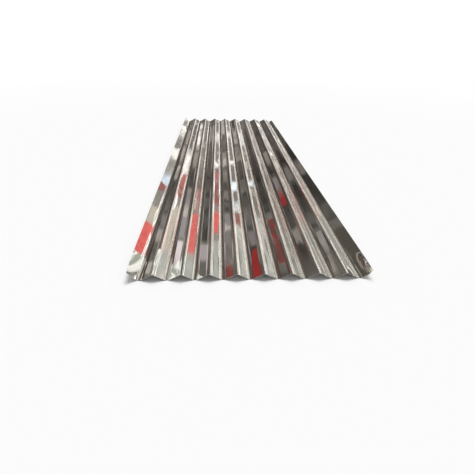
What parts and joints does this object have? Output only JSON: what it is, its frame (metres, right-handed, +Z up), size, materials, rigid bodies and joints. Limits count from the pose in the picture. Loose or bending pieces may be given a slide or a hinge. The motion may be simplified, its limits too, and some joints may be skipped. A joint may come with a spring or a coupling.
{
  "type": "corrugated metal sheet",
  "caption": "Long thin steel roofing sheet rolled into rounded parallel waves, with both long edges turned up and its corners bent by handling.",
  "frame": {"origin": "underside of the middle trough, halfway along the sheet, on the surface that the sheet lies on", "axes": "+X across the waves to the right, +Y along the waves away from the near end, +Z up"},
  "size_m": [0.6845, 2, 0.0271],
  "materials": {
    "galvanised_steel": "gloss"
  },
  "bodies": {
    "root": {"corrugated_sheet": "galvanised_steel"}
  },
  "joints": []
}
